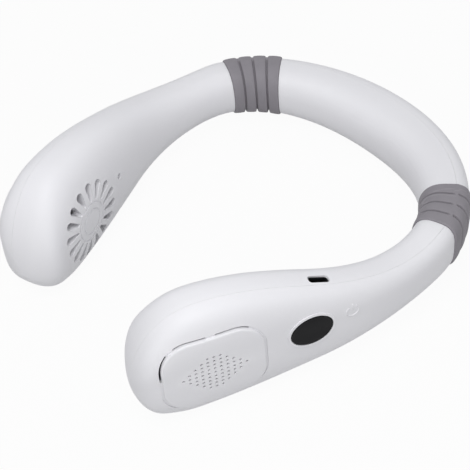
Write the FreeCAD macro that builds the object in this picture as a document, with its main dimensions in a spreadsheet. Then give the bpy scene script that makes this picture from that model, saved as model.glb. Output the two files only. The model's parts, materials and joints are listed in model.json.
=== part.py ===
import FreeCAD, Part
import math
import os
import re
import Sketcher
from FreeCAD import Matrix, Placement, Rotation, Vector

# Driving dimensions in millimetres and degrees
SIZES = {
    # Plan of the band, from the middle of its back to the tip of a pod
    "arch_radius": 83.0,
    "arch_angle": 43.0,
    "side_radius": 58.5,
    "side_angle": 41.0,
    "arm_radius": 119.0,
    "arm_angle": 27.0,
    "pod_run": 78.0,
    # Cross-section of the band
    "arch_thickness": 26.8,
    "neck_thickness": 19.2,
    "pod_thickness": 31.9,
    "arch_height": 29.2,
    "neck_height": 24.9,
    "pod_height": 60.1,
    "neck_lift": 12.2,
    "tip_upper_length": 31.6,
    "tip_lower_length": 26.0,
    "tip_point_height": 19.3,
    "tip_rounding": 9.5,
    "full_thickness_from_tip": 14.0,
    "full_height_from_tip": 36.5,
    "full_depth_from_tip": 20.0,
    "inner_squareness": 2.35,
    "outer_squareness": 3.4,
    "rest_flat": 0.4,
    # Shell halves
    "wall": 2.0,
    "seam_offset": 4.8,
    "seam_gap": 0.08,
    # Rubber sleeves and the shell spigots under them
    "sleeve_length": 26.4,
    "sleeve_proud": 0.7,
    "sleeve_wall": 2.2,
    "sleeve_end_gap": 0.15,
    "sleeve_groove_depth": 1.0,
    "sleeve_groove_width": 1.2,
    "sleeve_band_edge": 1.3,
    "sleeve_spine_width": 2.4,
    "sleeve_fit": 0.2,
    "spigot_wall": 1.6,
    "spigot_root": 4.0,
    # Hinges inside the sleeves
    "hinge_gap": 5.0,
    "hinge_pin_radius": 1.5,
    "hinge_eye_radius": 3.6,
    "hinge_tongue_height": 4.0,
    "hinge_ear_height": 2.4,
    "hinge_washer_thickness": 0.4,
    "hinge_pin_proud": 0.4,
    "hinge_running_fit": 0.05,
    "plug_fit": 0.05,
    "plug_root": 2.5,
    # Cables
    "cable_radius": 0.8,
    "cable_hole_fit": 0.2,
    "cable_drop": 6.6,
    # Fan, seen along its axis, and the radial vent over it
    "fan_from_tip": 33.9,
    "fan_rise": -2.0,
    "vent_plate_height": 3.2,
    "vent_plate_radius": 21.6,
    "vent_slot_count": 16,
    "vent_slot_start": 11.0,
    "vent_slot_end": 17.65,
    "vent_slot_narrow": 1.4,
    "vent_slot_wide": 4.1,
    "vent_ring_inner": 6.2,
    "vent_ring_outer": 9.4,
    "vent_ring_width": 0.7,
    "vent_ring_depth": 0.35,
    "impeller_radius": 19.2,
    "impeller_height": 12.0,
    "impeller_wall": 1.0,
    "blade_count": 9,
    "blade_thickness": 1.0,
    "blade_root_pitch": 48.0,
    "blade_tip_pitch": 30.0,
    "blade_lift": 2.0,
    "duct_tip_gap": 0.8,
    "duct_wall": 1.2,
    "duct_height": 14.5,
    "duct_seat_gap": 0.1,
    # Motor
    "motor_base_radius": 9.0,
    "motor_base_thickness": 1.2,
    "motor_collar_radius": 3.0,
    "shaft_radius": 1.0,
    "shaft_running_fit": 0.04,
    "bush_wall": 0.86,
    "stator_radius": 6.4,
    "stator_height": 4.0,
    "stator_slot_count": 6,
    "stator_slot_width": 1.4,
    "magnet_air_gap": 0.5,
    "magnet_thickness": 1.0,
    "rotor_can_wall": 0.6,
    "rotor_can_height": 6.8,
    "rotor_foot_gap": 0.5,
    "motor_screw_circle": 6.2,
    "motor_screw_radius": 0.7,
    "motor_screw_head_radius": 1.5,
    "motor_screw_head_height": 0.8,
    "motor_screw_length": 2.6,
    # Intake cover on the outer face of a pod
    "cover_from_tip": 33.3,
    "cover_rise": -0.9,
    "cover_length": 44.0,
    "cover_height": 39.0,
    "cover_corner": 13.0,
    "cover_slit": 0.9,
    "cover_raise": 0.9,
    "cover_plate": 1.6,
    "cover_lip": 2.5,
    "cover_skirt": 1.4,
    "cover_groove_depth": 0.3,
    "cover_groove_start": 16.0,
    "cover_groove_drop": 2.0,
    "cover_rim_radius": 0.9,
    "cover_tab_width": 4.0,
    "cover_tab_fit": 0.05,
    "cover_tab_recess": 0.15,
    "cover_hole_radius": 0.6,
    "cover_hole_pitch_along": 2.7,
    "cover_hole_pitch_up": 2.3,
    # Power button, its switch and the board
    "button_from_tip": 75.9,
    "button_rise": 3.6,
    "button_length": 18.6,
    "button_height": 15.4,
    "button_proud": 0.4,
    "button_edge": 0.35,
    "button_fit": 0.25,
    "button_flange_width": 1.0,
    "button_flange_thickness": 1.0,
    "button_flange_depth": 4.3,
    "button_rim_width": 1.1,
    "button_rim_proud": 0.35,
    "switch_side": 6.0,
    "switch_height": 3.1,
    "switch_floor": 0.3,
    "plunger_radius": 1.7,
    "plunger_length": 5.8,
    "plunger_proud": 4.2,
    "plunger_fit": 0.1,
    "board_length": 22.0,
    "board_height": 22.0,
    "board_thickness": 1.0,
    "board_rise": 0.6,
    "board_post_radius": 1.6,
    "board_post_inset": 2.0,
    # USB socket at the top of the left arm
    "usb_from_tip": 83.1,
    "usb_width": 9.0,
    "usb_thickness": 3.2,
    "usb_depth": 7.3,
    "usb_wall": 0.3,
    "usb_corner": 1.3,
    "usb_recess": 0.6,
    "usb_tilt": 20.0,
    "usb_hole_fit": 0.3,
    "usb_tongue_width": 6.6,
    "usb_tongue_thickness": 0.7,
    "usb_tongue_length": 5.0,
    # Battery cell
    "battery_from_sleeve": 41.0,
    "battery_length": 38.0,
    "battery_height": 16.0,
    "battery_thickness": 8.0,
    "battery_corner": 1.5,
    "battery_inset": 1.6,
    "battery_drop": 0.6,
    "battery_fit": 0.2,
    "cradle_rib": 1.4,
    "cradle_spread": 24.0,
    # Shell screws
    "screw_from_tip": 59.6,
    "screw_rise": 3.4,
    "screw_radius": 0.9,
    "screw_head_radius": 1.4,
    "screw_head_height": 1.3,
    "screw_head_depth": 3.0,
    "screw_length": 10.0,
    "screw_fit": 0.06,
    "screw_boss_wall": 1.5,
    "screw_boss_gap": 0.1,
    "screw_clamp": 1.5,
}

# Counts that set how finely the swept skin is drawn
SECTION_POINTS = 20
SLEEVE_POINTS = 48
SLEEVE_BANDS = 4
BODY_SECTIONS = 11
POD_SECTIONS = 3
TIP_SECTIONS = 8
ARCH_SECTIONS = 8
FRONT_STEPS = 200
TIP_CLOSE = 0.9985

# Tabs and holes of an intake cover
COVER_TABS = 3
HOLE_COLUMNS = 5
HOLE_ROWS = 4

UP = Vector(0, 0, 1)
FAR = 60.0
OVERRUN = 1.0

doc = FreeCAD.newDocument("NeckFan")
sheet = doc.addObject("Spreadsheet::Sheet", "Sizes")
for row, (alias, value) in enumerate(SIZES.items(), start=1):
    sheet.set(f"A{row}", alias)
    sheet.set(f"B{row}", str(value))
    sheet.setAlias(f"B{row}", alias)
doc.recompute()


def size(alias):
    return float(sheet.get(alias))


# Path of the band in plan: three tangent arcs and a straight run, mirrored about the middle of the back

ARCS = [
    (size("arch_radius"), math.radians(size("arch_angle"))),
    (size("side_radius"), math.radians(size("side_angle"))),
    (size("arm_radius"), math.radians(size("arm_angle"))),
]
ARC_ENDS = []
for arc_radius, arc_turn in ARCS:
    ARC_ENDS.append(arc_radius * arc_turn + (ARC_ENDS[-1] if ARC_ENDS else 0.0))
SLEEVE_START = ARC_ENDS[0]
SLEEVE_END = SLEEVE_START + size("sleeve_length")
HINGE = (SLEEVE_START + SLEEVE_END) / 2
NECK = ARC_ENDS[1]
RUN_START = ARC_ENDS[2]
PATH_END = RUN_START + size("pod_run")
TIP_START = PATH_END - size("tip_upper_length")


def raw_plan(station):
    # Point and heading at a distance along the path, before the band is centred
    side = math.copysign(1.0, station)
    left = abs(station)
    x = 0.0
    y = 0.0
    heading = 0.0
    for radius, turn in ARCS:
        step = min(left / radius, turn)
        x += radius * (math.sin(heading + step) - math.sin(heading))
        y -= radius * (math.cos(heading) - math.cos(heading + step))
        heading += step
        left -= step * radius
    x += left * math.cos(heading)
    y -= left * math.sin(heading)
    return side * x, y, side * heading


def smooth(share):
    share = min(max(share, 0.0), 1.0)
    return share * share * (3 - 2 * share)


def taper(station, at_arch, at_neck, at_pod, full_station):
    station = abs(station)
    if station < NECK:
        return at_arch + (at_neck - at_arch) * smooth(station / NECK)
    return at_neck + (at_pod - at_neck) * smooth((station - NECK) / (full_station - NECK))


def half_thickness(station):
    full_station = PATH_END - size("full_thickness_from_tip")
    thickness = taper(
        station, size("arch_thickness"), size("neck_thickness"), size("pod_thickness"), full_station)
    return thickness / 2


def closing(station, reach, inset):
    # Elliptical closing of the pod over the last stretch of the path
    share = (station - (PATH_END - reach)) / (reach - inset)
    return math.sqrt(1 - min(max(share, 0.0), 1.0) ** 2)


def edge_heights(station, inset):
    # Heights of the lower and upper edge of the band, drawn in by the inset and closing on the tip
    neck_lift = size("neck_lift")
    neck_top = neck_lift + size("neck_height")
    tip = size("tip_point_height")
    lower = taper(station, 0.0, neck_lift, 0.0, PATH_END - size("full_depth_from_tip"))
    upper = taper(
        station, size("arch_height"), neck_top, size("pod_height"), PATH_END - size("full_height_from_tip"))
    lower = tip - (tip - lower - inset) * closing(station, size("tip_lower_length"), inset)
    upper = tip + (upper - tip - inset) * closing(station, size("tip_upper_length"), inset)
    return lower - size("rest_flat"), upper - size("rest_flat")


def half_height(station):
    lower, upper = edge_heights(station, 0.0)
    return (upper - lower) / 2


def centre_height(station):
    lower, upper = edge_heights(station, 0.0)
    return (upper + lower) / 2


def front_reach():
    # Furthest point of the pods toward the front
    reach = 0.0
    for index in range(FRONT_STEPS):
        station = PATH_END - size("tip_rounding") * index / FRONT_STEPS
        x, y, heading = raw_plan(station)
        thick = half_thickness(station) * closing(station, size("tip_rounding"), 0.0)
        reach = min(reach, y - thick * abs(math.cos(heading)))
    return reach


BACK_SHIFT = -(size("arch_thickness") / 2 + front_reach()) / 2


def plan(station):
    # Centre-line point in plan, direction along the path and direction outward
    x, y, heading = raw_plan(station)
    along = Vector(math.cos(heading), -math.sin(heading), 0)
    outward = Vector(math.sin(heading), math.cos(heading), 0)
    return Vector(x, y + BACK_SHIFT, 0), along, outward


def frame(x_axis, y_axis, z_axis, origin):
    return Placement(Matrix(
        x_axis.x, y_axis.x, z_axis.x, origin.x,
        x_axis.y, y_axis.y, z_axis.y, origin.y,
        x_axis.z, y_axis.z, z_axis.z, origin.z,
        0, 0, 0, 1))


def face_frame(station, height):
    # x back toward the sleeve, y up, z outward
    point, along, outward = plan(station)
    return frame(along * -1, UP, outward, point + UP * height)


def hinge_frame(station, height):
    # x along the path, y outward, z up
    point, along, outward = plan(station)
    return frame(along, outward, UP, point + UP * height)


# Swept skin of the band

def power(value, squareness):
    return math.copysign(abs(value) ** (2 / squareness), value)


def squareness_at(turn):
    return size("outer_squareness") if math.cos(turn) > 0 else size("inner_squareness")


def section_point(station, turn, inset):
    # Point of the rounded cross-section at an angle from the outward direction
    point, along, outward = plan(station)
    squareness = squareness_at(turn)
    thick = (half_thickness(station) - inset) * closing(station, size("tip_rounding"), inset)
    lower, upper = edge_heights(station, inset)
    height = (upper + lower) / 2 + (upper - lower) / 2 * power(math.sin(turn), squareness)
    return point + outward * (thick * power(math.cos(turn), squareness)) + UP * height


def closed_curve(points):
    curve = Part.BSplineCurve()
    curve.interpolate(points, PeriodicFlag=True)
    return Part.Wire(curve.toShape())


def turns(count):
    return [2 * math.pi * index / count for index in range(count)]


def even_turns(count):
    # Angles whose points lie evenly about the middle of the cross-section
    angles = []
    for turn in turns(count):
        bend = 4 / squareness_at(turn)
        angles.append(math.atan2(power(math.sin(turn), bend), power(math.cos(turn), bend)))
    return angles


def section(station, inset):
    return closed_curve([section_point(station, turn, inset) for turn in even_turns(SECTION_POINTS)])


def spread(first, last, count):
    return [first + (last - first) * index / count for index in range(count + 1)]


def band_loft(first, last, inset, count):
    # Stretch of the band between two stations, drawn in by the inset
    return Part.makeLoft([section(station, inset) for station in spread(first, last, count)], True, False)


def arm_loft(first, inset, count=BODY_SECTIONS):
    # The band from a station to the closed tip of the pod
    stations = spread(first, TIP_START, count)
    for index in range(1, TIP_SECTIONS + 1):
        share = min(math.sin(math.pi / 2 * index / TIP_SECTIONS), TIP_CLOSE)
        stations.append(TIP_START + (size("tip_upper_length") - inset) * share)
    return Part.makeLoft([section(station, inset) for station in stations], True, False)


def pod_loft(inset):
    # The straight stretch of the band that carries the fan and the button
    return arm_loft(NECK + (RUN_START - NECK) / 2, inset, BODY_SECTIONS - POD_SECTIONS)


def path_edges(first, last, offset, height):
    # Lines and arcs that follow the path at a sideways offset
    joints = [-end for end in reversed(ARC_ENDS)] + [0.0] + ARC_ENDS
    stations = [first] + [joint for joint in joints if first < joint < last] + [last]
    edges = []
    for start, end in zip(stations, stations[1:]):
        points = []
        for station in (start, (start + end) / 2, end):
            point, along, outward = plan(station)
            points.append(point + outward * offset + UP * height)
        if start >= RUN_START:
            edges.append(Part.LineSegment(points[0], points[2]).toShape())
        else:
            edges.append(Part.Arc(*points).toShape())
    return edges


def outer_side(first, last, offset):
    # Everything outside the parting surface between two stations
    near = path_edges(first, last, offset, -FAR)
    far = path_edges(first, last, offset + FAR, -FAR)
    ends = []
    for edge_near, edge_far, place in ((near[0], far[0], 0), (near[-1], far[-1], -1)):
        corner_near = edge_near.Vertexes[place].Point
        corner_far = edge_far.Vertexes[place].Point
        ends.append(Part.LineSegment(corner_near, corner_far).toShape())
    wire = Part.Wire(Part.__sortEdges__(near + far + ends))
    return Part.Face(wire).extrude(UP * (3 * FAR))


def tube(first, last, radius, height):
    # Round cable that follows the path at one height
    point, along, outward = plan(first)
    rim = Part.Circle(point + UP * height, along, radius).toShape()
    return Part.Wire(path_edges(first, last, 0.0, height)).makePipeShell([Part.Wire(rim)], True, True)


def placed(shape, placement):
    moved = shape.copy()
    moved.Placement = placement
    return moved


def rod(radius, start, end, x=0.0, y=0.0):
    return Part.makeCylinder(radius, end - start, Vector(x, y, start), UP)


def slab(x_size, y_size, z_size, centre):
    corner = centre - Vector(x_size, y_size, z_size) / 2
    return Part.makeBox(x_size, y_size, z_size, corner)


def oval(length, height, start, end):
    rim = Part.Ellipse(Vector(0, 0, start), length / 2, height / 2).toShape()
    return Part.Face(Part.Wire(rim)).extrude(UP * (end - start))


def rounded_slab(x_size, y_size, z_size, corner, centre):
    block = slab(x_size, y_size, z_size, centre)
    upright = [edge for edge in block.Edges if abs(edge.tangentAt(edge.FirstParameter).z) > 0.5]
    return block.makeFillet(corner, upright)


FLOOR = Part.makeBox(8 * FAR, 8 * FAR, FAR, Vector(-4 * FAR, -4 * FAR, -FAR))

# Document objects

nodes = []


def keep(item, label):
    item.Label = label
    nodes.append(item)


def mirrored(label, source):
    item = doc.addObject("Part::Mirroring", label)
    item.Source = source
    item.Normal = Vector(1, 0, 0)
    keep(item, label)


def both_sides(name, source):
    keep(source, "left_" + name)
    mirrored("right_" + name, source)


def shaped(name, shape):
    item = doc.addObject("Part::Feature", name)
    item.Shape = shape
    return item


def bound(formula):
    # Formula on the sheet's aliases, written as a document expression
    return re.sub(r"[a-z_]+", lambda word: "Sizes." + word.group(), formula)


def lifted(height):
    return Placement(Vector(0, 0, height), Rotation())


def cylinder(name, radius, height, start=0.0):
    item = doc.addObject("Part::Cylinder", name)
    item.setExpression("Radius", bound(radius))
    item.setExpression("Height", bound(height))
    item.Placement = lifted(start)
    return item


def cut(name, base, tool):
    item = doc.addObject("Part::Cut", name)
    item.Base = base
    item.Tool = tool
    return item


def fuse(name, parts):
    item = doc.addObject("Part::MultiFuse", name)
    item.Shapes = parts
    return item


def ring(name, outer, inner, height, start=0.0):
    # Ring about the local z axis, standing at a start height
    body = cylinder(name + "_body", outer, height, start)
    bore = cylinder(name + "_bore", inner, height, start)
    return cut(name, body, bore)


# Levels and stations about the hinge pin

HINGE_HEIGHT = centre_height(HINGE)
HINGE_FRAME = hinge_frame(HINGE, HINGE_HEIGHT)
SPIGOT_INSET = size("sleeve_wall") - size("sleeve_proud") + size("sleeve_fit")
SPIGOT_BORE = SPIGOT_INSET + size("spigot_wall")
PLUG_INSET = SPIGOT_BORE + size("plug_fit")
ARCH_SPIGOT_END = HINGE - size("hinge_gap")
ARM_SPIGOT_END = HINGE + size("hinge_gap")
TONGUE_TOP = size("hinge_tongue_height") / 2
EAR_START = TONGUE_TOP + size("hinge_washer_thickness")
EAR_END = EAR_START + size("hinge_ear_height")
CABLE_HEIGHT = HINGE_HEIGHT - size("cable_drop")
CABLE_HOLE = size("cable_radius") + size("cable_hole_fit")
PLUG_START = SLEEVE_START - size("plug_root")
PLUG_END = SLEEVE_END + size("plug_root")


# Screws driven from the inner face, along the outward direction

class ScrewPlace:
    def __init__(self, station, rise, seat_depth, length):
        self.frame = face_frame(station, centre_height(station) + rise)
        self.seat = seat_depth - half_thickness(station)
        self.split = self.seat + size("screw_clamp")
        self.length = length

    def inner_boss(self):
        boss = rod(size("screw_head_radius") + size("screw_boss_wall"), -FAR, self.split)
        return placed(boss, self.frame)

    def outer_boss(self):
        boss = rod(size("screw_radius") + size("screw_boss_wall"), self.split + size("screw_boss_gap"), FAR)
        return placed(boss, self.frame)

    def head_hole(self):
        return placed(rod(size("screw_head_radius") + 2 * size("screw_fit"), -FAR, self.seat), self.frame)

    def shank_hole(self):
        tip = self.seat + self.length + size("screw_boss_gap")
        return placed(rod(size("screw_radius") + size("screw_fit"), -FAR, tip), self.frame)

    def screw(self, name):
        head = rod(size("screw_head_radius"), self.seat - size("screw_head_height"), self.seat)
        screw = shaped(name, head.fuse(rod(size("screw_radius"), self.seat, self.seat + self.length)))
        screw.Placement = self.frame
        return screw


def clamp_screw(station):
    # Screw hidden under the sleeve, through both spigot walls and the plug between them
    reach = 2 * (half_thickness(station) - SPIGOT_INSET)
    length = reach - size("screw_head_height") - size("spigot_wall") / 4
    return ScrewPlace(station, 0.0, SPIGOT_INSET + size("screw_head_height"), length)


ARCH_SCREW = clamp_screw((SLEEVE_START + ARCH_SPIGOT_END) / 2)
FORK_SCREW = clamp_screw((SLEEVE_END + ARM_SPIGOT_END) / 2)
SHELL_SCREW = ScrewPlace(
    PATH_END - size("screw_from_tip"), size("screw_rise"), size("screw_head_depth"), size("screw_length"))


# Hinges: a tongue on the arch and a fork on each arm, with a pin and two friction washers

def knuckle(start, end, reach):
    # Flat arm with a round eye about the pin, reaching along x into its plug
    eye_radius = size("hinge_eye_radius")
    pin_hole = rod(size("hinge_pin_radius") + size("hinge_running_fit"), start, end)
    arm = slab(abs(reach), 2 * eye_radius, end - start, Vector(reach / 2, 0, (start + end) / 2))
    return rod(eye_radius, start, end).fuse(arm).cut(pin_hole)


def hinge_half(plug, knuckles, holes):
    for shape in knuckles:
        plug = plug.fuse(placed(shape, HINGE_FRAME))
    return plug.cut(holes).removeSplitter()


def make_hinges():
    reach = size("hinge_gap") + size("plug_root")
    tongue = hinge_half(
        band_loft(PLUG_START, ARCH_SPIGOT_END, PLUG_INSET, 3),
        [knuckle(-TONGUE_TOP, TONGUE_TOP, -reach)],
        [tube(PLUG_START - size("plug_root"), HINGE, CABLE_HOLE, CABLE_HEIGHT), ARCH_SCREW.shank_hole()])
    both_sides("hinge_tongue", shaped("hinge_tongue", tongue))
    fork = hinge_half(
        band_loft(ARM_SPIGOT_END, PLUG_END, PLUG_INSET, 3),
        [knuckle(EAR_START, EAR_END, reach), knuckle(-EAR_END, -EAR_START, reach)],
        [tube(HINGE, PLUG_END + size("plug_root"), CABLE_HOLE, CABLE_HEIGHT), FORK_SCREW.shank_hole()])
    both_sides("hinge_fork", shaped("hinge_fork", fork))
    both_sides("tongue_screw", ARCH_SCREW.screw("tongue_screw"))
    both_sides("fork_screw", FORK_SCREW.screw("fork_screw"))
    pin = cylinder(
        "hinge_pin", "hinge_pin_radius",
        "hinge_tongue_height + 2 * (hinge_washer_thickness + hinge_ear_height + hinge_pin_proud)")
    pin.Placement = HINGE_FRAME * lifted(-EAR_END - size("hinge_pin_proud"))
    both_sides("hinge_pin", pin)
    for place, start in (("upper", TONGUE_TOP), ("lower", -EAR_START)):
        washer = ring(
            "hinge_washer_" + place, "hinge_eye_radius", "hinge_pin_radius + hinge_running_fit",
            "hinge_washer_thickness", start)
        washer.Placement = HINGE_FRAME
        both_sides("hinge_washer_" + place, washer)


# Ribbed rubber sleeves over the hinges

def sleeve_section(station, inset):
    # Cross-section whose grooves are filled by a spine along the parting line, above and below
    points = []
    for turn in turns(SLEEVE_POINTS):
        across = half_thickness(station) * power(math.cos(turn), size("outer_squareness"))
        filled = smooth(1 - abs(across - size("seam_offset")) / size("sleeve_spine_width"))
        points.append(section_point(station, turn, inset - (inset + size("sleeve_proud")) * filled))
    return closed_curve(points)


def make_sleeves():
    first = SLEEVE_START + size("sleeve_end_gap")
    last = SLEEVE_END - size("sleeve_end_gap")
    groove = size("sleeve_groove_width")
    band = (last - first - groove * (SLEEVE_BANDS - 1)) / SLEEVE_BANDS
    edge = size("sleeve_band_edge")
    top_inset = -size("sleeve_proud")
    floor_inset = size("sleeve_groove_depth") - size("sleeve_proud")
    wires = []
    for index in range(SLEEVE_BANDS):
        start = first + index * (band + groove)
        wires += [
            sleeve_section(start, floor_inset),
            sleeve_section(start + edge, top_inset),
            sleeve_section(start + band - edge, top_inset),
            sleeve_section(start + band, floor_inset),
        ]
    bore = band_loft(first - groove, last + groove, size("sleeve_wall") - size("sleeve_proud"), 4)
    both_sides("sleeve", shaped("sleeve", Part.makeLoft(wires, True, True).cut(bore)))


# Cables along the arch, through the hinges and into the arms

BATTERY_STATION = SLEEVE_END + size("battery_from_sleeve")


def make_cables():
    radius = size("cable_radius")
    keep(shaped("arch_cable", tube(-ARCH_SPIGOT_END, ARCH_SPIGOT_END, radius, CABLE_HEIGHT)), "arch_cable")
    joint_cable = tube(ARCH_SPIGOT_END, ARM_SPIGOT_END, radius, CABLE_HEIGHT)
    both_sides("joint_cable", shaped("joint_cable", joint_cable))
    cable_end = BATTERY_STATION - size("battery_length") / 2 - size("cable_radius")
    arm_cable = tube(ARM_SPIGOT_END, cable_end, radius, CABLE_HEIGHT)
    both_sides("arm_cable", shaped("arm_cable", arm_cable))


# Arch shell halves

def spigot(first, last):
    sleeve_side = band_loft(first, last, SPIGOT_INSET, 3)
    return sleeve_side.cut(band_loft(first - OVERRUN, last + OVERRUN, SPIGOT_BORE, 3))


def make_arch():
    skin = band_loft(-SLEEVE_START, SLEEVE_START, 0.0, ARCH_SECTIONS)
    reach = SLEEVE_START + size("spigot_root")
    shell = skin.cut(band_loft(-reach, reach, size("wall"), ARCH_SECTIONS))
    shell = shell.fuse(spigot(SLEEVE_START - size("spigot_root"), ARCH_SPIGOT_END))
    shell = shell.fuse(spigot(-ARCH_SPIGOT_END, size("spigot_root") - SLEEVE_START))
    shell = shell.cut(FLOOR)
    outer = shell.common(outer_side(-HINGE, HINGE, size("seam_offset") + size("seam_gap") / 2))
    inner = shell.cut(outer_side(-HINGE, HINGE, size("seam_offset") - size("seam_gap") / 2))
    across = Matrix(-1, 0, 0, 0, 0, 1, 0, 0, 0, 0, 1, 0, 0, 0, 0, 1)
    for flip in (Matrix(), across):
        shank_hole = ARCH_SCREW.shank_hole().transformGeometry(flip)
        outer = outer.cut(shank_hole)
        inner = inner.cut([shank_hole, ARCH_SCREW.head_hole().transformGeometry(flip)])
    keep(shaped("arch_outer_shell", outer), "arch_outer_shell")
    keep(shaped("arch_inner_shell", inner), "arch_inner_shell")


# Frame of a pod: origin on the fan axis, x toward the sleeve, y up, z outward

FAN_STATION = PATH_END - size("fan_from_tip")
FAN_HEIGHT = centre_height(FAN_STATION) + size("fan_rise")
POD = face_frame(FAN_STATION, FAN_HEIGHT)


def pod_spot(from_tip, rise):
    # Place on the pod given by its distance from the tip and its rise over the centre line
    station = PATH_END - from_tip
    return Vector(from_tip - size("fan_from_tip"), centre_height(station) + rise - FAN_HEIGHT, 0)


# Levels along the fan axis
MOTOR_SEAT = size("wall") - half_thickness(FAN_STATION) + size("vent_plate_height")
BASE_TOP = MOTOR_SEAT + size("motor_base_thickness")
ROTOR_FOOT = BASE_TOP + size("rotor_foot_gap")
CAN_TOP = ROTOR_FOOT + size("rotor_can_height")
STATOR_START = BASE_TOP + 2 * size("rotor_foot_gap")
HUB_BORE = (size("stator_radius") + size("magnet_air_gap") + size("magnet_thickness")
            + size("rotor_can_wall"))

# Levels along the button axis
BUTTON_SPOT = pod_spot(size("button_from_tip"), size("button_rise"))
FLANGE_TOP = half_thickness(PATH_END - size("button_from_tip")) - size("button_flange_depth")
FLANGE_FOOT = FLANGE_TOP - size("button_flange_thickness")
SWITCH_TOP = FLANGE_FOOT - size("plunger_proud")
BOARD_FACE = SWITCH_TOP - size("switch_height")
BOARD_MIDDLE = BOARD_FACE - size("board_thickness") / 2
BOARD_CENTRE = BUTTON_SPOT + Vector(0, size("board_rise"), BOARD_MIDDLE)

COVER_SPOT = pod_spot(size("cover_from_tip"), size("cover_rise"))


def cover_outline(margin, start, end):
    centre = COVER_SPOT + UP * ((start + end) / 2)
    return rounded_slab(
        size("cover_length") + 2 * margin, size("cover_height") + 2 * margin, end - start,
        size("cover_corner") + margin, centre)


def vent_slot():
    # Tapered slot with round ends, lying along x and cut through the inner wall
    narrow = size("vent_slot_narrow") / 2
    wide = size("vent_slot_wide") / 2
    near = size("vent_slot_start")
    far = size("vent_slot_end")
    upper_near = Vector(near, narrow, -FAR)
    upper_far = Vector(far, wide, -FAR)
    lower_far = Vector(far, -wide, -FAR)
    lower_near = Vector(near, -narrow, -FAR)
    edges = [
        Part.LineSegment(upper_near, upper_far).toShape(),
        Part.Arc(upper_far, Vector(far + wide, 0, -FAR), lower_far).toShape(),
        Part.LineSegment(lower_far, lower_near).toShape(),
        Part.Arc(lower_near, Vector(near - narrow, 0, -FAR), upper_near).toShape(),
    ]
    return Part.Face(Part.Wire(edges)).extrude(UP * (FAR + MOTOR_SEAT))


def vent_cutter():
    slots = []
    count = int(size("vent_slot_count"))
    for index in range(count):
        slot = vent_slot()
        slot.rotate(Vector(), UP, 360 * (index + 0.5) / count)
        slots.append(slot)
    return placed(Part.makeCompound(slots), POD)


def vent_grooves():
    # Two shallow rings round the middle of the vent
    rings = []
    for radius in (size("vent_ring_inner"), size("vent_ring_outer")):
        half = size("vent_ring_width") / 2
        rings.append(rod(radius + half, -FAR, 0.0).cut(rod(radius - half, -FAR, 0.0)))
    return placed(Part.makeCompound(rings), POD).cut(pod_loft(size("vent_ring_depth")))


def motor_screw_spots():
    circle = size("motor_screw_circle")
    return [Vector(0, circle, 0), Vector(0, -circle, 0)]


def usb_frame():
    # x across the socket, y out of its mouth, z outward from the board
    station = PATH_END - size("usb_from_tip")
    middle = BOARD_FACE + size("usb_thickness") / 2
    share = 1 - (middle / half_thickness(station)) ** size("outer_squareness")
    top = half_height(station) * share ** (1 / size("outer_squareness"))
    spot = pod_spot(size("usb_from_tip"), top) + UP * middle
    return POD * Placement(spot, Rotation(UP, -size("usb_tilt")))


USB = usb_frame()


def make_arm_shells():
    skin = arm_loft(SLEEVE_END, 0.0)
    middle = arm_loft(SLEEVE_END, size("wall") / 2)
    shell = skin.cut(arm_loft(SLEEVE_END - size("spigot_root"), size("wall")))
    shell = shell.fuse(spigot(ARM_SPIGOT_END, SLEEVE_END + size("spigot_root"))).cut(FLOOR)
    beyond = PATH_END + FAR
    outer = shell.common(outer_side(HINGE, beyond, size("seam_offset") + size("seam_gap") / 2))
    inner = shell.cut(outer_side(HINGE, beyond, size("seam_offset") - size("seam_gap") / 2))

    # Inner half: thick plate under the vent that carries the motor, battery ribs, screw boss, vent
    vent_plate = placed(rod(size("vent_plate_radius"), -FAR, MOTOR_SEAT), POD)
    inner = inner.fuse([
        vent_plate.common(middle),
        battery_ribs().common(middle),
        SHELL_SCREW.inner_boss().common(middle),
    ])
    pilot_foot = MOTOR_SEAT - size("motor_screw_length")
    pilot = rod(size("motor_screw_radius") + size("screw_fit"), pilot_foot, 0.0)
    pilots = []
    for spot in motor_screw_spots():
        pilots.append(placed(pilot, POD * Placement(spot, Rotation())))
    screw_holes = [SHELL_SCREW.shank_hole(), FORK_SCREW.shank_hole()]
    head_holes = [SHELL_SCREW.head_hole(), FORK_SCREW.head_hole()]
    spigot_foot = SLEEVE_END + size("spigot_root") + OVERRUN
    cable_way = tube(ARM_SPIGOT_END - OVERRUN, spigot_foot, CABLE_HOLE, CABLE_HEIGHT)
    inner = inner.cut([vent_cutter(), vent_grooves(), cable_way] + screw_holes + head_holes + pilots)

    # Outer half: screw boss and the opening round the intake cover
    outer = outer.fuse(SHELL_SCREW.outer_boss().common(middle))
    opening = placed(cover_outline(size("cover_slit"), 0.0, FAR), POD)
    outer = outer.cut([opening] + screw_holes)

    usb_hole = rounded_slab(
        size("usb_width") + 2 * size("usb_hole_fit"), size("usb_thickness") + 2 * size("usb_hole_fit"), FAR,
        size("usb_corner") + size("usb_hole_fit"), Vector(0, 0, FAR / 2 - size("usb_depth")))
    usb_hole = placed(usb_hole, USB * Placement(Vector(), Rotation(Vector(1, 0, 0), -90)))
    keep(shaped("left_inner_shell", inner.cut(usb_hole)), "left_inner_shell")
    mirrored("right_inner_shell", shaped("inner_blank", inner))
    both_sides("shell_screw", SHELL_SCREW.screw("shell_screw"))
    keep(shaped("left_outer_shell", button_seat(outer, middle).cut(usb_hole)), "left_outer_shell")
    mirrored("right_outer_shell", shaped("outer_blank", outer))
    make_cover()
    make_duct()


def button_oval(margin, start, end):
    return oval(size("button_length") + 2 * margin, size("button_height") + 2 * margin, start, end)


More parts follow.
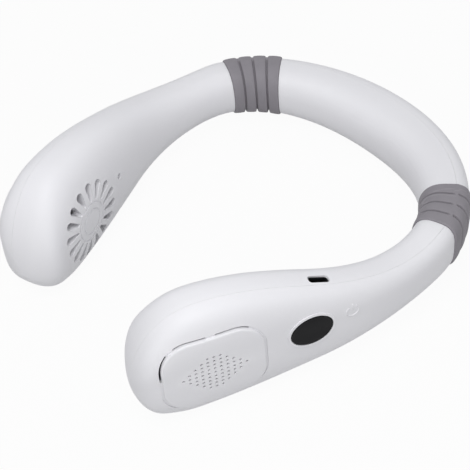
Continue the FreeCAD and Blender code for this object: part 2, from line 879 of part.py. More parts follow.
def button_seat(outer, middle):
    # Hole and raised rim for the button, and the two posts that carry the board
    at_button = POD * Placement(BUTTON_SPOT, Rotation())
    rim = placed(button_oval(size("button_fit") + size("button_rim_width"), FLANGE_TOP, FAR), at_button)
    rim = rim.common(pod_loft(-size("button_rim_proud"))).cut(middle)
    outer = outer.fuse(rim).cut(placed(button_oval(size("button_fit"), FLANGE_TOP, FAR), at_button))
    for side in (-1, 1):
        along = side * (size("board_length") / 2 - size("board_post_inset"))
        down = size("board_post_inset") - size("board_height") / 2
        spot = BOARD_CENTRE + Vector(along, down, 0)
        post = rod(size("board_post_radius"), BOARD_FACE, FAR, spot.x, spot.y)
        outer = outer.fuse(placed(post, POD).common(middle))
    return outer


def skin_level(spot):
    # Height of the outer face over the pod's frame at a spot in it
    station = FAN_STATION - spot.x
    thick = half_thickness(station) * closing(station, size("tip_rounding"), 0.0)
    share = abs(spot.y + FAN_HEIGHT - centre_height(station)) / half_height(station)
    return thick * (1 - min(share, 1.0) ** size("outer_squareness")) ** (1 / size("outer_squareness"))


def cover_edge(direction):
    # Point where a ray from the middle of the cover meets its outline
    half_length = size("cover_length") / 2
    half_upright = size("cover_height") / 2
    corner = size("cover_corner")
    if abs(direction.x) < 1e-6 or abs(direction.y) < 1e-6:
        return COVER_SPOT + Vector(direction.x * half_length, direction.y * half_upright, 0)
    middle = Vector(math.copysign(half_length - corner, direction.x),
                    math.copysign(half_upright - corner, direction.y), 0)
    along = middle.dot(direction)
    aside = (middle - direction * along).Length
    return COVER_SPOT + direction * (along + math.sqrt(corner ** 2 - aside ** 2))


def make_cover():
    # Raised plate on a skirt set in from its lip, joined to the shell by tabs across the slit and, along
    # its foot and the side toward the sleeve, by a web under a shallow groove; a diamond of small holes
    # in the middle
    block = pod_loft(-size("cover_raise")).common(placed(cover_outline(0.0, 0.0, FAR), POD))
    block = block.cut(pod_loft(size("wall")))
    top = max(block.Faces, key=lambda face: face.CenterOfMass.dot(POD.Rotation.multVec(UP)))
    block = block.makeFillet(size("cover_rim_radius"), top.Edges)
    under = pod_loft(size("cover_plate") - size("cover_raise"))
    skirt_foot = cover_outline(-size("cover_lip"), 0.0, FAR)
    pocket = cover_outline(-size("cover_lip") - size("cover_skirt"), 0.0, FAR)
    overhang = cover_outline(OVERRUN, 0.0, FAR).cut(skirt_foot)
    cover = block.cut([under.common(placed(room, POD)) for room in (pocket, overhang)])

    reach = size("cover_slit") - size("cover_tab_fit")
    skirt_middle = cover_outline(-size("cover_lip") - size("cover_skirt") / 2, 0.0, FAR)
    rim = cover_outline(reach, 0.0, FAR).cut(skirt_middle)
    sleeve_side = Vector(size("cover_groove_start") + FAR / 2, 0, 0)
    foot_side = Vector(0, -size("cover_groove_drop") - FAR / 2, 0)
    closed = slab(FAR, 2 * FAR, 2 * FAR, COVER_SPOT + sleeve_side)
    closed = closed.fuse(slab(2 * FAR, FAR, 2 * FAR, COVER_SPOT + foot_side))
    web = placed(rim.common(closed), POD)
    web = web.common(pod_loft(size("cover_groove_depth"))).cut(pod_loft(size("wall")))
    tabs = [web]
    for index in range(COVER_TABS):
        turn = Rotation(UP, 90 + 90 * index / (COVER_TABS - 1))
        edge = cover_edge(turn.multVec(Vector(1, 0, 0)))
        top = skin_level(edge) - size("cover_tab_recess")
        foot = skin_level(edge) - size("wall")
        bar = slab(2 * size("cover_tab_width"), size("cover_tab_width"), top - foot, Vector())
        bar.Placement = Placement(edge + UP * ((top + foot) / 2), turn)
        tabs.append(placed(bar.common(rim), POD))
    cover = cover.fuse(tabs)

    holes = []
    for column in range(-HOLE_COLUMNS, HOLE_COLUMNS + 1):
        for row in range(-HOLE_ROWS, HOLE_ROWS + 1):
            if abs(column) + abs(row) <= HOLE_COLUMNS:
                x = COVER_SPOT.x + column * size("cover_hole_pitch_along")
                y = COVER_SPOT.y + row * size("cover_hole_pitch_up")
                holes.append(rod(size("cover_hole_radius"), 0.0, FAR, x, y))
    cover = cover.cut(placed(Part.makeCompound(holes), POD))
    both_sides("intake_cover", shaped("intake_cover", cover))


# Fan duct, motor and impeller, drawn about the fan axis

def make_duct():
    bore = size("impeller_radius") + size("duct_tip_gap")
    duct_top = ROTOR_FOOT + size("duct_height")
    foot = MOTOR_SEAT + size("duct_seat_gap")
    duct = rod(bore + size("duct_wall"), foot, duct_top).cut(rod(bore, foot, duct_top))
    clear = pod_loft(size("wall") + size("duct_seat_gap"))
    both_sides("fan_duct", shaped("fan_duct", placed(duct, POD).common(clear)))


def on_pod(name, item, level=0.0):
    item.Placement = POD * lifted(level)
    both_sides(name, item)


def make_motor():
    disc = cylinder("base_disc", "motor_base_radius", "motor_base_thickness")
    collar = cylinder("base_collar", "motor_collar_radius", "2 * rotor_foot_gap + stator_height")
    collar.Placement = lifted(size("motor_base_thickness"))
    holes = [cylinder(
        "base_bore", "shaft_radius + shaft_running_fit + bush_wall",
        "2 * rotor_foot_gap + stator_height", size("motor_base_thickness"))]
    recess_floor = size("motor_base_thickness") - size("motor_screw_head_height")
    for spot in motor_screw_spots():
        head = cylinder("base_recess", "motor_screw_head_radius + screw_fit", "motor_screw_head_height")
        head.Placement = Placement(spot + UP * recess_floor, Rotation())
        shank = cylinder("base_hole", "motor_screw_radius + screw_fit", "motor_base_thickness")
        shank.Placement = Placement(spot, Rotation())
        holes += [head, shank]
    base = cut("motor_base", fuse("base_solid", [disc, collar]), fuse("base_holes", holes))
    on_pod("motor_base", base, MOTOR_SEAT)

    for index, spot in enumerate(motor_screw_spots(), start=1):
        head = cylinder("motor_screw_head", "motor_screw_head_radius", "motor_screw_head_height")
        shank = cylinder("motor_screw_shank", "motor_screw_radius", "motor_screw_length",
                         -size("motor_screw_length"))
        screw = fuse("motor_screw", [head, shank])
        screw.Placement = POD * Placement(spot + UP * (MOTOR_SEAT + recess_floor), Rotation())
        both_sides(f"motor_screw_{index}", screw)

    bush = ring("bush", "shaft_radius + shaft_running_fit + bush_wall", "shaft_radius + shaft_running_fit",
                "2 * rotor_foot_gap + stator_height")
    on_pod("bush", bush, BASE_TOP)
    on_pod("stator", make_stator(), STATOR_START)

    shaft = cylinder("shaft", "shaft_radius", "rotor_foot_gap + rotor_can_height - screw_fit")
    on_pod("shaft", shaft, BASE_TOP + size("screw_fit"))
    magnet = ring("magnet_ring", "stator_radius + magnet_air_gap + magnet_thickness",
                  "stator_radius + magnet_air_gap", "stator_height")
    on_pod("magnet_ring", magnet, STATOR_START)
    can_solid = cylinder("can_solid", "stator_radius + magnet_air_gap + magnet_thickness + rotor_can_wall",
                         "rotor_can_height")
    can_room = cylinder("can_room", "stator_radius + magnet_air_gap + magnet_thickness",
                        "rotor_can_height - rotor_can_wall")
    can_hole = cylinder("can_hole", "shaft_radius", "rotor_can_height")
    can = cut("rotor_can", can_solid, fuse("can_inside", [can_room, can_hole]))
    on_pod("rotor_can", can, ROTOR_FOOT)


def make_stator():
    # Slotted iron core
    body = doc.addObject("PartDesign::Body", "stator")
    plane = [item for item in body.Origin.OriginFeatures if item.Role == "XY_Plane"][0]
    core = body.newObject("Sketcher::SketchObject", "stator_core")
    core.AttachmentSupport = (plane, [""])
    core.MapMode = "FlatFace"
    for alias in ("stator_radius", "motor_collar_radius"):
        circle = core.addGeometry(Part.Circle(Vector(), UP, size(alias)), False)
        core.addConstraint(Sketcher.Constraint("Coincident", circle, 3, -1, 1))
        radius = core.addConstraint(Sketcher.Constraint("Radius", circle, size(alias)))
        core.setExpression(f"Constraints[{radius}]", bound(alias))
    pad = body.newObject("PartDesign::Pad", "stator_pad")
    pad.Profile = core
    pad.setExpression("Length", bound("stator_height"))
    doc.recompute()

    slot = body.newObject("Sketcher::SketchObject", "stator_slot")
    slot.AttachmentSupport = (plane, [""])
    slot.MapMode = "FlatFace"
    near = (size("motor_collar_radius") + size("stator_radius")) / 2
    far = near + size("stator_radius") - size("motor_collar_radius")
    half = size("stator_slot_width") / 2
    corners = [Vector(near, -half, 0), Vector(far, -half, 0), Vector(far, half, 0), Vector(near, half, 0)]
    for index in range(4):
        slot.addGeometry(Part.LineSegment(corners[index], corners[(index + 1) % 4]), False)
    for index in range(4):
        slot.addConstraint(Sketcher.Constraint("Coincident", index, 2, (index + 1) % 4, 1))
    for kind, line in (("Horizontal", 0), ("Vertical", 1), ("Horizontal", 2)):
        slot.addConstraint(Sketcher.Constraint(kind, line))
    slot.addConstraint(Sketcher.Constraint("Symmetric", 3, 1, 3, 2, -1))
    settings = (("DistanceY", (1, 1, 1, 2), 2 * half, "stator_slot_width"),
                ("DistanceX", (-1, 1, 0, 1), near, "(motor_collar_radius + stator_radius) / 2"),
                ("DistanceX", (0, 1, 0, 2), far - near, "stator_radius - motor_collar_radius"))
    for kind, points, value, formula in settings:
        number = slot.addConstraint(Sketcher.Constraint(kind, *points, value))
        slot.setExpression(f"Constraints[{number}]", bound(formula))
    pocket = body.newObject("PartDesign::Pocket", "stator_pocket")
    pocket.Profile = slot
    pocket.Type = "ThroughAll"
    pocket.Midplane = True
    doc.recompute()
    pattern = body.newObject("PartDesign::PolarPattern", "stator_slots")
    pattern.Originals = [pocket]
    pattern.Axis = (slot, ["N_Axis"])
    pattern.Angle = 360
    pattern.setExpression("Occurrences", bound("stator_slot_count"))
    body.Tip = pattern
    doc.recompute()
    return body


def make_impeller():
    # Hub cup over the rotor can with twisted blades
    hub_radius = HUB_BORE + size("impeller_wall")
    hub_top = CAN_TOP + size("impeller_wall")
    room = rod(HUB_BORE, ROTOR_FOOT, CAN_TOP)
    hub = rod(hub_radius, ROTOR_FOOT, hub_top)
    chord = size("impeller_height") / math.sin(math.radians(size("blade_root_pitch")))
    wires = []
    stations = ((HUB_BORE - size("impeller_wall"), "blade_root_pitch"),
                (size("impeller_radius") + size("impeller_wall"), "blade_tip_pitch"))
    for radius, pitch in stations:
        turn = Rotation(Vector(1, 0, 0), size(pitch))
        middle = Vector(radius, 0, ROTOR_FOOT + size("blade_lift") + size("impeller_height") / 2)
        corners = []
        for along, across in ((-1, -1), (1, -1), (1, 1), (-1, 1)):
            offset = Vector(0, along * chord / 2, across * size("blade_thickness") / 2)
            corners.append(middle + turn.multVec(offset))
        wires.append(Part.makePolygon(corners + corners[:1]))
    blade = Part.makeLoft(wires, True, True)
    sweep = rod(size("impeller_radius"), ROTOR_FOOT, FAR)
    blade = blade.common(sweep).cut(room)
    blades = []
    count = int(size("blade_count"))
    for index in range(count):
        turned = blade.copy()
        turned.rotate(Vector(), UP, 360 * index / count)
        blades.append(turned)
    impeller = shaped("impeller", hub.fuse(blades).cut(room).removeSplitter())
    on_pod("impeller", impeller)


# Battery cell and the ribs that carry it

BATTERY_FRAME = face_frame(BATTERY_STATION, centre_height(BATTERY_STATION) - size("battery_drop"))


def battery_block(margin):
    return slab(
        size("battery_length") + 2 * margin, size("battery_height") + 2 * margin,
        size("battery_thickness") + 2 * margin, UP * -size("battery_inset"))


def battery_ribs():
    room = battery_block(size("battery_fit"))
    ribs = []
    for side in (-1, 1):
        centre = Vector(side * size("cradle_spread") / 2, 0, size("seam_offset") - size("wall") - FAR / 2)
        ribs.append(slab(size("cradle_rib"), FAR, FAR, centre).cut(room))
    return placed(Part.makeCompound(ribs), BATTERY_FRAME)


def make_battery():
    block = battery_block(0.0)
    cell = shaped("battery", block.makeFillet(size("battery_corner"), block.Edges))
    cell.Placement = BATTERY_FRAME
    both_sides("battery", cell)


# Power button, switch, board and USB socket in the left arm

def make_controls():
    at_button = POD * Placement(BUTTON_SPOT, Rotation())
    cap = placed(button_oval(0.0, FLANGE_FOOT, FAR), at_button)
    cap = cap.common(pod_loft(-size("button_proud")))
    top = max(cap.Faces, key=lambda face: face.CenterOfMass.dot(POD.Rotation.multVec(UP)))
    cap = cap.makeFillet(size("button_edge"), top.Edges)
    flange = button_oval(size("button_flange_width"), FLANGE_FOOT, FLANGE_TOP)
    keep(shaped("power_button", cap.fuse(placed(flange, at_button)).removeSplitter()), "power_button")

    plunger = cylinder("switch_plunger", "plunger_radius", "plunger_length")
    plunger.Placement = at_button * lifted(FLANGE_FOOT - size("plunger_length"))
    keep(plunger, "switch_plunger")
    side = size("switch_side")
    housing = slab(side, side, size("switch_height"), UP * (SWITCH_TOP - size("switch_height") / 2))
    well = rod(size("plunger_radius") + size("plunger_fit"), BOARD_FACE + size("switch_floor"), SWITCH_TOP)
    switch = shaped("switch_housing", housing.cut(well))
    switch.Placement = at_button
    keep(switch, "switch_housing")

    board = doc.addObject("Part::Box", "control_board")
    board.setExpression("Length", bound("board_length"))
    board.setExpression("Width", bound("board_height"))
    board.setExpression("Height", bound("board_thickness"))
    half_board = Vector(size("board_length"), size("board_height"), size("board_thickness")) / 2
    board.Placement = POD * Placement(BOARD_CENTRE - half_board, Rotation())
    keep(board, "control_board")

    upright = USB * Placement(Vector(0, -size("usb_recess"), 0), Rotation(Vector(1, 0, 0), -90))
    wall = size("usb_wall")
    depth = size("usb_depth")
    case = rounded_slab(
        size("usb_width"), size("usb_thickness"), depth, size("usb_corner"), UP * (-depth / 2))
    room = rounded_slab(
        size("usb_width") - 2 * wall, size("usb_thickness") - 2 * wall, depth - wall,
        size("usb_corner") - wall, UP * ((wall - depth) / 2))
    socket = shaped("usb_shell", case.cut(room))
    socket.Placement = upright
    keep(socket, "usb_shell")
    tongue = shaped("usb_tongue", slab(
        size("usb_tongue_width"), size("usb_tongue_thickness"), size("usb_tongue_length"),
        UP * (wall - depth + size("usb_tongue_length") / 2)))
    tongue.Placement = upright
    keep(tongue, "usb_tongue")


make_hinges()
make_sleeves()
make_cables()
make_arch()
make_arm_shells()
make_motor()
make_impeller()
make_battery()
make_controls()
doc.recompute()

# Check every object, then write one file per piece

for item in doc.Objects:
    if "Invalid" in item.State or "Error" in item.State:
        raise RuntimeError(f"{item.Label} failed: {item.State}")
os.makedirs("parts", exist_ok=True)
for item in nodes:
    if item.Shape.isNull() or not item.Shape.isValid():
        raise RuntimeError(f"{item.Label} has no valid shape")
for item in nodes:
    item.Shape.exportStep(f"parts/{item.Label}.step")
    box = item.Shape.BoundBox
    print(item.Label, len(item.Shape.Solids), round(item.Shape.Volume, 1), round(box.XLength, 1),
          round(box.YLength, 1), round(box.ZLength, 1))
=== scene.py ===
import bpy
import json
import math
from mathutils import Matrix, Vector


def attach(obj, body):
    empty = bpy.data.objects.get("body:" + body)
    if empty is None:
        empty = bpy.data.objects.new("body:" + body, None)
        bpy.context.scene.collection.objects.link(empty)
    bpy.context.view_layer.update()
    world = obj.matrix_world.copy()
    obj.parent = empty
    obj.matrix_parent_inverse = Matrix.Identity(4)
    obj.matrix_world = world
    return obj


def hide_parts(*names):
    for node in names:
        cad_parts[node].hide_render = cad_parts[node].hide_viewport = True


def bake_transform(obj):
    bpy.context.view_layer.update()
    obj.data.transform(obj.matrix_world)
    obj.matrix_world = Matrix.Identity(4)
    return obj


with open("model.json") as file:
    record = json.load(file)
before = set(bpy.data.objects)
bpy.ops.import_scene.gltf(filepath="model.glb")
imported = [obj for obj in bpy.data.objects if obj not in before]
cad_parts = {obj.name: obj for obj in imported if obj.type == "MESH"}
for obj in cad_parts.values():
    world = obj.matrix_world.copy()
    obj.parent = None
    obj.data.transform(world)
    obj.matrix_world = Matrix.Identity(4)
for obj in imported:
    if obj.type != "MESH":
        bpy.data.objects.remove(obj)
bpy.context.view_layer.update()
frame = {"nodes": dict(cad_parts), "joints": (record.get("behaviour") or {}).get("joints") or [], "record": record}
nodes = frame["nodes"]
scene = bpy.context.scene
scene.view_settings.view_transform = "Standard"
print("frame loaded,", len(nodes), "nodes")

# the curved band, in metres: three tangent arcs and a straight run on each side of the nape
band = {
    "arcs": [(0.083, 43.0), (0.0585, 41.0), (0.119, 27.0)],  # radius, degrees
    "podRun": 0.078,
    "thick": (0.0268, 0.0192, 0.0319),  # arch, neck, pod
    "low": (0.0, 0.0122, 0.0),
    "top": (0.0292, 0.0371, 0.0601),
    "restFlat": 0.0004,
    "fullThick": 0.014,  # from the tip
    "fullLow": 0.02,
    "fullTop": 0.0365,
    "squareInner": 2.35,
    "squareOuter": 3.4,
    "seam": 0.0048,
}

arcEnds = []
for arcRadius, arcDegrees in band["arcs"]:
    arcEnds.append(arcRadius * math.radians(arcDegrees) + (arcEnds[-1] if arcEnds else 0.0))
neckStation = arcEnds[1]
pathEnd = arcEnds[2] + band["podRun"]
sleeveStart = arcEnds[0]
leftHinge = Vector(next(j["pos_m"] for j in frame["joints"] if j["name"] == "left_spread"))


def rawPath(station):
    # plan of the left half from the nape on, before it is moved to the hinge
    left, x, y, heading = station, 0.0, 0.0, 0.0
    for radius, degrees in band["arcs"]:
        step = min(left / radius, math.radians(degrees))
        x += radius * (math.sin(heading + step) - math.sin(heading))
        y -= radius * (math.cos(heading) - math.cos(heading + step))
        heading += step
        left -= step * radius
    return x + left * math.cos(heading), y - left * math.sin(heading), heading


def pathAt(station):
    # point on the plan of the left half and the side that faces away from the neck
    x, y, heading = rawPath(station)
    outward = Vector((math.sin(heading), math.cos(heading), 0))
    return Vector((x, y + pathShift, 0)), outward


def smooth(share):
    share = min(max(share, 0.0), 1.0)
    return share * share * (3 - 2 * share)


def taper(station, three, full):
    # eased from arch to neck, then from neck to the pod's full size
    arch, neck, pod = three
    if station < neckStation:
        return arch + (neck - arch) * smooth(station / neckStation)
    return neck + (pod - neck) * smooth((station - neckStation) / (full - neckStation))


def halfThick(station):
    return taper(station, band["thick"], pathEnd - band["fullThick"]) / 2


def edgeHeights(station):
    low = taper(station, band["low"], pathEnd - band["fullLow"])
    top = taper(station, band["top"], pathEnd - band["fullTop"])
    return low - band["restFlat"], top - band["restFlat"]


def halfHigh(station):
    low, top = edgeHeights(station)
    return (top - low) / 2


def midHeight(station):
    low, top = edgeHeights(station)
    return (top + low) / 2


def power(value, square):
    return math.copysign(abs(value) ** (2 / square), value)


def skinPoint(station, turn, inset):
    # point of the rounded cross-section, turned from the outward side
    point, outward = pathAt(station)
    square = band["squareOuter"] if math.cos(turn) > 0 else band["squareInner"]
    across = (halfThick(station) - inset) * power(math.cos(turn), square)
    rise = (halfHigh(station) - inset) * power(math.sin(turn), square)
    return point + outward * across + Vector((0, 0, midHeight(station) + rise))


def meshPiece(name, points, faces, mirror=False):
    # new smooth mesh from points in metres, mirrored to the right arm when asked
    if mirror:
        points = [Vector((-p.x, p.y, p.z)) for p in points]
        faces = [tuple(reversed(f)) for f in faces]
    mesh = bpy.data.meshes.new(name)
    mesh.from_pydata([tuple(p) for p in points], [], faces)
    mesh.validate()
    mesh.shade_smooth()
    piece = bpy.data.objects.new(name, mesh)
    scene.collection.objects.link(piece)
    return piece


def ringFaces(rings, around, closed):
    # quads between neighbouring rings of points
    faces = []
    for ring in range(rings if closed else rings - 1):
        for step in range(around):
            a = ring * around + step
            b = ring * around + (step + 1) % around
            c = ((ring + 1) % rings) * around + (step + 1) % around
            d = ((ring + 1) % rings) * around + step
            faces.append((a, b, c, d))
    return faces


# rubber sleeves: four rounded bands with cut grooves that stop at a plain spine over the seam
sleeve = {
    "length": 0.0264,
    "endGap": 0.00015,
    "proud": 0.0007,
    "wall": 0.0022,
    "bands": 4,
    "grooveDepth": 0.0013,
    "grooveHalf": 0.0004,
    "grooveSteep": 4,
    "crown": 0.00022,
    "lip": 0.0006,
    "spine": 0.0011,
    "spineFade": 0.0006,
    "spineCrown": 0.8,  # share of the crown
    "rings": 232,
    "boreRings": 20,
    "around": 144,
    "hingeGap": 0.005,
}
sleeveEnd = sleeveStart + sleeve["length"]
hingeStation = (sleeveStart + sleeveEnd) / 2
pathShift = leftHinge.y - rawPath(hingeStation)[1]


def sleeveInset(station, turn):
    # depth of the rubber under the band's skin, less than nothing where it stands proud
    first = sleeveStart + sleeve["endGap"]
    last = sleeveEnd - sleeve["endGap"]
    pitch = (last - first) / sleeve["bands"]
    share = (station - first) / pitch
    fromGroove = abs(share - round(share)) * pitch
    atEnd = round(share) in (0, sleeve["bands"])
    across = halfThick(station) * power(math.cos(turn), band["squareOuter"])
    plain = smooth((sleeve["spine"] - abs(across - band["seam"])) / sleeve["spineFade"])
    inBand = share - min(math.floor(share), sleeve["bands"] - 1)
    middle = 1 - (2 * inBand - 1) ** 2
    crown = middle * (1 - plain) + sleeve["spineCrown"] * plain
    inset = -sleeve["proud"] - sleeve["crown"] * crown
    if atEnd:
        if fromGroove < sleeve["lip"]:
            intoLip = 1 - fromGroove / sleeve["lip"]
            inset += sleeve["lip"] * (1 - math.sqrt(max(0.0, 1 - intoLip * intoLip)))
        return inset
    cut = 1 / (1 + (fromGroove / sleeve["grooveHalf"]) ** sleeve["grooveSteep"])
    return inset + sleeve["grooveDepth"] * cut * (1 - plain)


def buildSleeve(side, mirror):
    first = sleeveStart + sleeve["endGap"]
    last = sleeveEnd - sleeve["endGap"]
    around = sleeve["around"]
    rings = []
    for ring in range(sleeve["rings"]):
        station = first + (last - first) * ring / (sleeve["rings"] - 1)
        rings.append((station, None))
    for ring in range(sleeve["boreRings"]):
        station = last + (first - last) * ring / (sleeve["boreRings"] - 1)
        rings.append((station, sleeve["wall"] - sleeve["proud"]))
    points = []
    for station, inset in rings:
        for step in range(around):
            turn = 2 * math.pi * step / around
            depth = sleeveInset(station, turn) if inset is None else inset
            points.append(skinPoint(station, turn, depth))
    piece = meshPiece(side + "SleeveRubber", points, ringFaces(len(rings), around, True), mirror)
    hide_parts(side + "_sleeve")
    return piece


# short cable through each hinge, under the pin
jointCable = {"radius": 0.0008, "drop": 0.0066, "rings": 25, "around": 16}


def buildJointCable(side, mirror):
    height = midHeight(hingeStation) - jointCable["drop"]
    around = jointCable["around"]
    points = []
    for ring in range(jointCable["rings"]):
        share = ring / (jointCable["rings"] - 1)
        station = hingeStation + sleeve["hingeGap"] * (2 * share - 1)
        point, outward = pathAt(station)
        for step in range(around):
            turn = 2 * math.pi * step / around
            offset = outward * math.cos(turn) + Vector((0, 0, math.sin(turn)))
            points.append(point + offset * jointCable["radius"] + Vector((0, 0, height)))
    faces = ringFaces(jointCable["rings"], around, False)
    last = (jointCable["rings"] - 1) * around
    faces.append(tuple(reversed(range(around))))
    faces.append(tuple(range(last, last + around)))
    piece = meshPiece(side + "JointLead", points, faces, mirror)
    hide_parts(side + "_joint_cable")
    return piece


def bendAtHinge(piece, mirror):
    start = pathAt(hingeStation - sleeve["hingeGap"])[0]
    end = pathAt(hingeStation + sleeve["hingeGap"])[0]
    if mirror:
        start.x, end.x = -start.x, -end.x
    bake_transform(piece)


sleeves = []
leads = []
for side, mirror in (("left", False), ("right", True)):
    sleeves.append(buildSleeve(side, mirror))
    leads.append(buildJointCable(side, mirror))
    bendAtHinge(sleeves[-1], mirror)
    bendAtHinge(leads[-1], mirror)
print("sleeves and joint leads built")

# raised on and off mark beside the button: an open ring with a bar through its gap
mark = {
    "fromTip": 0.0932,
    "rise": 0.0069,
    "ring": 0.0027,
    "gapDegrees": 62,
    "bar": (0.0008, 0.0039),
    "width": 0.0009,
    "raise": 0.00028,
    "sink": 0.0003,
    "endSize": 0.55,  # share of the bead left at its ends
    "probe": 0.0002,
    "ringSteps": 40,
    "barSteps": 8,
    "arcSteps": 8,
}


def outerFace(station, rise):
    # point and normal of the outer face at a rise over the centre line
    def at(s, v):
        point, outward = pathAt(s)
        share = min(abs(v) / halfHigh(s), 1.0) ** band["squareOuter"]
        across = halfThick(s) * (1 - share) ** (1 / band["squareOuter"])
        return point + outward * across + Vector((0, 0, midHeight(s) + v))
    step = mark["probe"]
    alongFace = at(station + step, rise) - at(station - step, rise)
    upFace = at(station, rise + step) - at(station, rise - step)
    normal = upFace.cross(alongFace).normalized()
    if normal.dot(pathAt(station)[1]) < 0:
        normal.negate()
    return at(station, rise), normal


def stroke(path):
    # half-round bead along a path given in station and rise
    points = []
    count = len(path)
    around = mark["arcSteps"] + 1
    for index, (s, v) in enumerate(path):
        before = path[max(index - 1, 0)]
        after = path[min(index + 1, count - 1)]
        ds, dv = after[0] - before[0], after[1] - before[1]
        length = math.hypot(ds, dv)
        sideS, sideV = -dv / length, ds / length
        fade = mark["endSize"] if index in (0, count - 1) else 1.0
        for step in range(around):
            turn = math.pi * step / mark["arcSteps"]
            offset = math.cos(turn) * mark["width"] / 2 * fade
            spot, normal = outerFace(s + sideS * offset, v + sideV * offset)
            lift = (mark["raise"] + mark["sink"]) * math.sin(turn) * fade - mark["sink"]
            points.append(spot + normal * lift)
    faces = []
    for index in range(count - 1):
        for step in range(around - 1):
            a = index * around + step
            faces.append((a, a + 1, a + around + 1, a + around))
        here, there = index * around, (index + 1) * around
        faces.append((here, there, there + around - 1, here + around - 1))
    faces.append(tuple(reversed(range(around))))
    faces.append(tuple(range((count - 1) * around, count * around)))
    return points, faces


def buildMark():
    middle = pathEnd - mark["fromTip"]
    drawn = 360 - mark["gapDegrees"]
    ringPath = []
    for step in range(mark["ringSteps"] + 1):
        turn = math.radians(90 + mark["gapDegrees"] / 2 + drawn * step / mark["ringSteps"])
        aside, rise = mark["ring"] * math.cos(turn), mark["ring"] * math.sin(turn)
        ringPath.append((middle + aside, mark["rise"] + rise))
    low, high = mark["bar"]
    barPath = []
    for step in range(mark["barSteps"] + 1):
        barPath.append((middle, mark["rise"] + low + (high - low) * step / mark["barSteps"]))
    points, faces = stroke(ringPath)
    barPoints, barFaces = stroke(barPath)
    faces += [tuple(i + len(points) for i in f) for f in barFaces]
    piece = meshPiece("powerMark", points + barPoints, faces)
    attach(piece, "left_arm")
    return piece


powerMark = buildMark()
print("power mark built")


# shared surface effects as node groups

def newGroup(name, inputs, outputs):
    group = bpy.data.node_groups.new(name, "ShaderNodeTree")
    for socketName, kind, value in inputs:
        socket = group.interface.new_socket(socketName, in_out="INPUT", socket_type=kind)
        socket.default_value = value
    for socketName, kind in outputs:
        group.interface.new_socket(socketName, in_out="OUTPUT", socket_type=kind)
    start = group.nodes.new("NodeGroupInput")
    end = group.nodes.new("NodeGroupOutput")
    return group, start, end


def addNode(tree, kind, **settings):
    node = tree.nodes.new(kind)
    for key, value in settings.items():
        setattr(node, key, value)
    return node


def maskBetween(group, value, low, high, amount):
    # nothing at low, the whole amount at high
    spread = addNode(group, "ShaderNodeMapRange")
    spread.inputs["From Min"].default_value = low
    spread.inputs["From Max"].default_value = high
    group.links.new(value, spread.inputs["Value"])
    share = addNode(group, "ShaderNodeMath", operation="MULTIPLY")
    group.links.new(spread.outputs["Result"], share.inputs[0])
    group.links.new(amount, share.inputs[1])
    return share.outputs[0]


def mixColours(group, share, first, second):
    # a colour Mix node takes its colours at sockets 6 and 7 and gives the result at 2
    mix = addNode(group, "ShaderNodeMix", data_type="RGBA")
    group.links.new(share, mix.inputs[0])
    group.links.new(first, mix.inputs[6])
    group.links.new(second, mix.inputs[7])
    return mix.outputs[2]


# where the noise, the painted highlight on sharp edges and the fleck begin and end to show
surfaceSet = {
    "driftFrom": (0.35, 0.68),
    "edgeFrom": (0.51, 0.6),
    "fleckFrom": (0.3, 0.7),
    "coatRough": 0.25,
}


def buildToneDrift():
    # slow change between two tones over the surface
    group, start, end = newGroup("toneDrift", [
        ("Tone", "NodeSocketColor", (0.8, 0.8, 0.8, 1)),
        ("Shade", "NodeSocketColor", (0.7, 0.7, 0.7, 1)),
        ("Scale", "NodeSocketFloat", 30.0),
        ("Amount", "NodeSocketFloat", 0.5),
    ], [("Color", "NodeSocketColor")])
    links = group.links
    where = addNode(group, "ShaderNodeTexCoord")
    noise = addNode(group, "ShaderNodeTexNoise")
    noise.inputs["Detail"].default_value = 3.0
    links.new(where.outputs["Object"], noise.inputs["Vector"])
    links.new(start.outputs["Scale"], noise.inputs["Scale"])
    low, high = surfaceSet["driftFrom"]
    share = maskBetween(group, noise.outputs["Fac"], low, high, start.outputs["Amount"])
    colour = mixColours(group, share, start.outputs["Tone"], start.outputs["Shade"])
    links.new(colour, end.inputs["Color"])
    return group


def buildMouldGrain():
    # spark-eroded grain of a mould, as a height and a fleck mask
    group, start, end = newGroup("mouldGrain", [
        ("Scale", "NodeSocketFloat", 1500.0),
        ("Pits", "NodeSocketFloat", 0.4),
    ], [("Height", "NodeSocketFloat"), ("Fleck", "NodeSocketFloat")])
    links = group.links
    where = addNode(group, "ShaderNodeTexCoord")
    noise = addNode(group, "ShaderNodeTexNoise")
    noise.inputs["Detail"].default_value = 4.0
    noise.inputs["Roughness"].default_value = 0.6
    cells = addNode(group, "ShaderNodeTexVoronoi", feature="SMOOTH_F1")
    for texture in (noise, cells):
        links.new(where.outputs["Object"], texture.inputs["Vector"])
        links.new(start.outputs["Scale"], texture.inputs["Scale"])
    blend = addNode(group, "ShaderNodeMix", data_type="FLOAT")  # its numbers go in at sockets 2 and 3
    links.new(start.outputs["Pits"], blend.inputs[0])
    links.new(noise.outputs["Fac"], blend.inputs[2])
    links.new(cells.outputs["Distance"], blend.inputs[3])
    links.new(blend.outputs[0], end.inputs["Height"])
    links.new(noise.outputs["Fac"], end.inputs["Fleck"])
    return group


def buildEdgeTone():
    # painted highlight: colour made lighter on sharp outer edges, from the shape's own sharpness
    group, start, end = newGroup("edgeTone", [
        ("Color", "NodeSocketColor", (0.8, 0.8, 0.8, 1)),
        ("Edge", "NodeSocketColor", (0.9, 0.9, 0.9, 1)),
        ("Amount", "NodeSocketFloat", 0.5),
    ], [("Color", "NodeSocketColor")])
    shape = addNode(group, "ShaderNodeNewGeometry")
    low, high = surfaceSet["edgeFrom"]
    share = maskBetween(group, shape.outputs["Pointiness"], low, high, start.outputs["Amount"])
    colour = mixColours(group, share, start.outputs["Color"], start.outputs["Edge"])
    group.links.new(colour, end.inputs["Color"])
    return group


